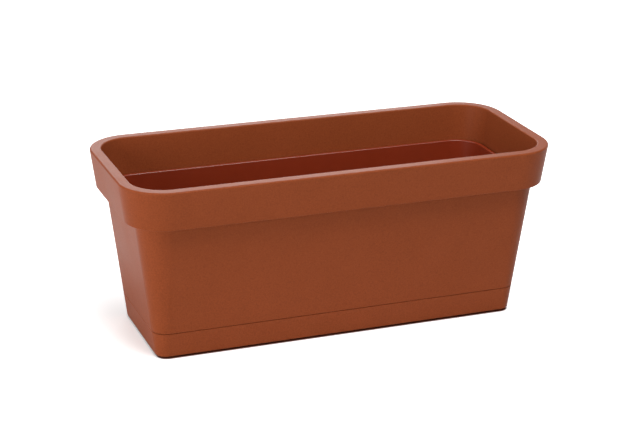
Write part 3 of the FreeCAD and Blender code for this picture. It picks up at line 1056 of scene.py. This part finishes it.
@dataclass(frozen=True)
class Studio:
    """White surroundings and softboxes, in metres.

    What the camera or a reflection sees is whiter than what lights the planter. The paper floor
    is brightened there by a gain, which keeps its shadows, and by a glow that grows from
    edge_glow to glow over glow_reach away from the footprint, with more from far_from to far_to,
    where the softboxes fade. Reflections see only a share of the glow, mirrored_glow, so that
    no floor in them is much brighter than white.

    The footprint is a core, given as half sizes, grown by footprint_round on all sides. Inside
    it the floor's colour is painted shade, a dark brown that fades out over the last
    footprint_fade, so that the gap beside the tray's set-in foot is dark.
    """

    ambient: float = 0.06
    floor_colour: str = "#F2F2F2"
    floor_gain: float = 1.1
    footprint_core: tuple[float, float, float] = (0.1995, 0.058, 0.0)
    footprint_round: float = 13.6 * MM
    footprint_fade: float = 2.5 * MM
    # Colour of the painted shade laid on the floor inside the tray's footprint.
    painted_foot_shade: str = "#7A4A3A"
    glow_reach: float = 0.05
    edge_glow: float = 0.42
    glow: float = 0.65
    far_glow: float = 0.5
    mirrored_glow: float = 0.15
    far_from: float = 0.9
    far_to: float = 2.5
    floor_half: float = 12.0
    softboxes: tuple[Softbox, ...] = (
        Softbox("top_softbox", azimuth=20.0, elevation=70.0, power=53.5, side=1.4),
        Softbox("left_softbox", azimuth=-58.0, elevation=12.0, power=25.0),
        Softbox("end_softbox", azimuth=-100.0, elevation=12.0, power=13.0),
        Softbox("rim_softbox", azimuth=165.0, elevation=22.0, power=13.0),
    )

    def seen(self, tree: bpy.types.NodeTree, mirrored: float = 1.0) -> bpy.types.NodeSocket:
        """1 for the camera's own rays, a share for reflected ones, and 0 for light.

        Args:
            tree: The node tree.
            mirrored: The share for glossy and transmitted rays.

        Returns:
            The socket that gives the value.
        """
        path = add_node(tree, "ShaderNodeLightPath")
        bent = add_node(tree, "ShaderNodeMath", {
            0: path.outputs["Is Glossy Ray"], 1: path.outputs["Is Transmission Ray"]},
            operation="MAXIMUM")
        share = add_node(tree, "ShaderNodeMath", {0: bent.outputs[0], 1: mirrored},
                         operation="MULTIPLY")
        return add_node(tree, "ShaderNodeMath", {
            0: path.outputs["Is Camera Ray"], 1: share.outputs[0]},
            operation="MAXIMUM").outputs[0]

    def build_world(self) -> None:
        """A world that looks white and lights the planter evenly."""
        world = bpy.data.worlds.new("white_surround")
        world.use_nodes = True
        bpy.context.scene.world = world
        tree = world.node_tree
        tree.nodes.clear()
        strength = add_node(tree, "ShaderNodeMapRange", {
            "Value": self.seen(tree), "To Min": self.ambient, "To Max": 1.0})
        white = add_node(tree, "ShaderNodeBackground", {
            "Color": (1.0, 1.0, 1.0, 1.0), "Strength": strength.outputs[0]})
        add_node(tree, "ShaderNodeOutputWorld", {"Surface": white.outputs[0]})

    def footprint_distance(self, tree: bpy.types.NodeTree) -> bpy.types.NodeSocket:
        """How far a place on the floor lies from the core of the footprint.

        For a place p and the core's half sizes c it is the length of |p| - c, with what is
        below zero taken as zero.

        Args:
            tree: The floor's node tree.

        Returns:
            The socket that gives the distance.
        """
        place = add_node(tree, "ShaderNodeTexCoord").outputs["Object"]
        beside = add_node(tree, "ShaderNodeVectorMath", {0: place}, operation="ABSOLUTE")
        past = add_node(tree, "ShaderNodeVectorMath", {
            0: beside.outputs[0], 1: self.footprint_core}, operation="SUBTRACT")
        away = add_node(tree, "ShaderNodeVectorMath", {
            0: past.outputs[0], 1: (0.0, 0.0, 0.0)}, operation="MAXIMUM")
        return add_node(tree, "ShaderNodeVectorMath", {
            0: away.outputs[0]}, operation="LENGTH").outputs["Value"]

    def floor_material(self) -> bpy.types.Material:
        """Paper that takes shadows, with the gain and the glow where it is seen, and painted shade
        in the footprint.

        Returns:
            The material.
        """
        material = bpy.data.materials.new("pale_paper_floor")
        material.use_nodes = True
        tree = material.node_tree
        tree.nodes.clear()
        distance, edge = self.footprint_distance(tree), self.footprint_round
        # Mask of the painted shade: 0 inside the footprint, where the floor's colour is painted
        # dark brown, and 1 outside it. The glow is held off there too.
        clear = add_node(tree, "ShaderNodeMapRange", {
            "Value": distance, "From Min": edge - self.footprint_fade, "From Max": edge})
        near = add_node(tree, "ShaderNodeMapRange", {
            "Value": distance, "From Min": edge, "From Max": edge + self.glow_reach,
            "To Min": self.edge_glow, "To Max": self.glow})
        far = add_node(tree, "ShaderNodeMapRange", {
            "Value": distance, "From Min": self.far_from, "From Max": self.far_to,
            "To Min": 0.0, "To Max": self.far_glow})
        bright = add_node(tree, "ShaderNodeMix", {
            0: self.seen(tree), MIX_A: linear(self.floor_colour),
            MIX_B: (self.floor_gain,) * 3 + (1.0,)}, data_type="RGBA")
        # The floor's colour is the painted shade inside the footprint and the bright paper outside
        # it.
        colour = add_node(tree, "ShaderNodeMix", {
            0: clear.outputs[0], MIX_A: linear(self.painted_foot_shade), MIX_B: bright.outputs[MIX_OUT]},
            data_type="RGBA")
        paper = add_node(tree, "ShaderNodeBsdfDiffuse", {"Color": colour.outputs[MIX_OUT]})
        total = add_node(tree, "ShaderNodeMath", {0: near.outputs[0], 1: far.outputs[0]},
                         operation="ADD")
        shown = add_node(tree, "ShaderNodeMath", {
            0: self.seen(tree, self.mirrored_glow), 1: clear.outputs[0]},
            operation="MULTIPLY")
        strength = add_node(tree, "ShaderNodeMath", {0: shown.outputs[0], 1: total.outputs[0]},
                            operation="MULTIPLY")
        glow = add_node(tree, "ShaderNodeEmission", {"Strength": strength.outputs[0]})
        both = add_node(tree, "ShaderNodeAddShader", {0: paper.outputs[0], 1: glow.outputs[0]})
        add_node(tree, "ShaderNodeOutputMaterial", {"Surface": both.outputs[0]})
        return material

    def build_floor(self) -> None:
        """A pale floor that runs into the white and keeps the planter's shadow."""
        half = self.floor_half
        mesh = bpy.data.meshes.new("floor")
        mesh.from_pydata([(-half, -half, 0), (half, -half, 0), (half, half, 0), (-half, half, 0)],
                         [], [(0, 1, 2, 3)])
        mesh.materials.append(self.floor_material())
        floor = bpy.data.objects.new("floor", mesh)
        bpy.context.scene.collection.objects.link(floor)

    def build(self) -> None:
        """Makes the surroundings and the lamps."""
        self.build_world()
        self.build_floor()
        for softbox in self.softboxes:
            softbox.build()
        bpy.context.scene.view_settings.view_transform = "Standard"


# ---------------------------------------------------------------------------------------------
# Scene
# ---------------------------------------------------------------------------------------------


def main() -> None:
    """Builds the camera, the studio and the three mouldings, and reports them."""
    logging.basicConfig(level=logging.INFO, format="%(name)s: %(message)s")
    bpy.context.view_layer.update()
    PhotoCamera().build()
    Studio().build()
    _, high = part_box("planter_shell")
    walls = Walls(length=RIM_LENGTH, width=RIM_WIDTH, top=high.z)
    grained, polished = GRAINED_SHELL.material(), POLISHED_LINER.material()
    dressed = ((DripTray(walls), grained), (PlanterShell(walls), grained),
               (Liner(walls), polished))
    for moulding, finish in dressed:
        piece = moulding.build(finish)
        log.info("%s: %d faces in %s", piece.name, len(piece.data.polygons), finish.name)


if __name__ == "__main__":
    main()
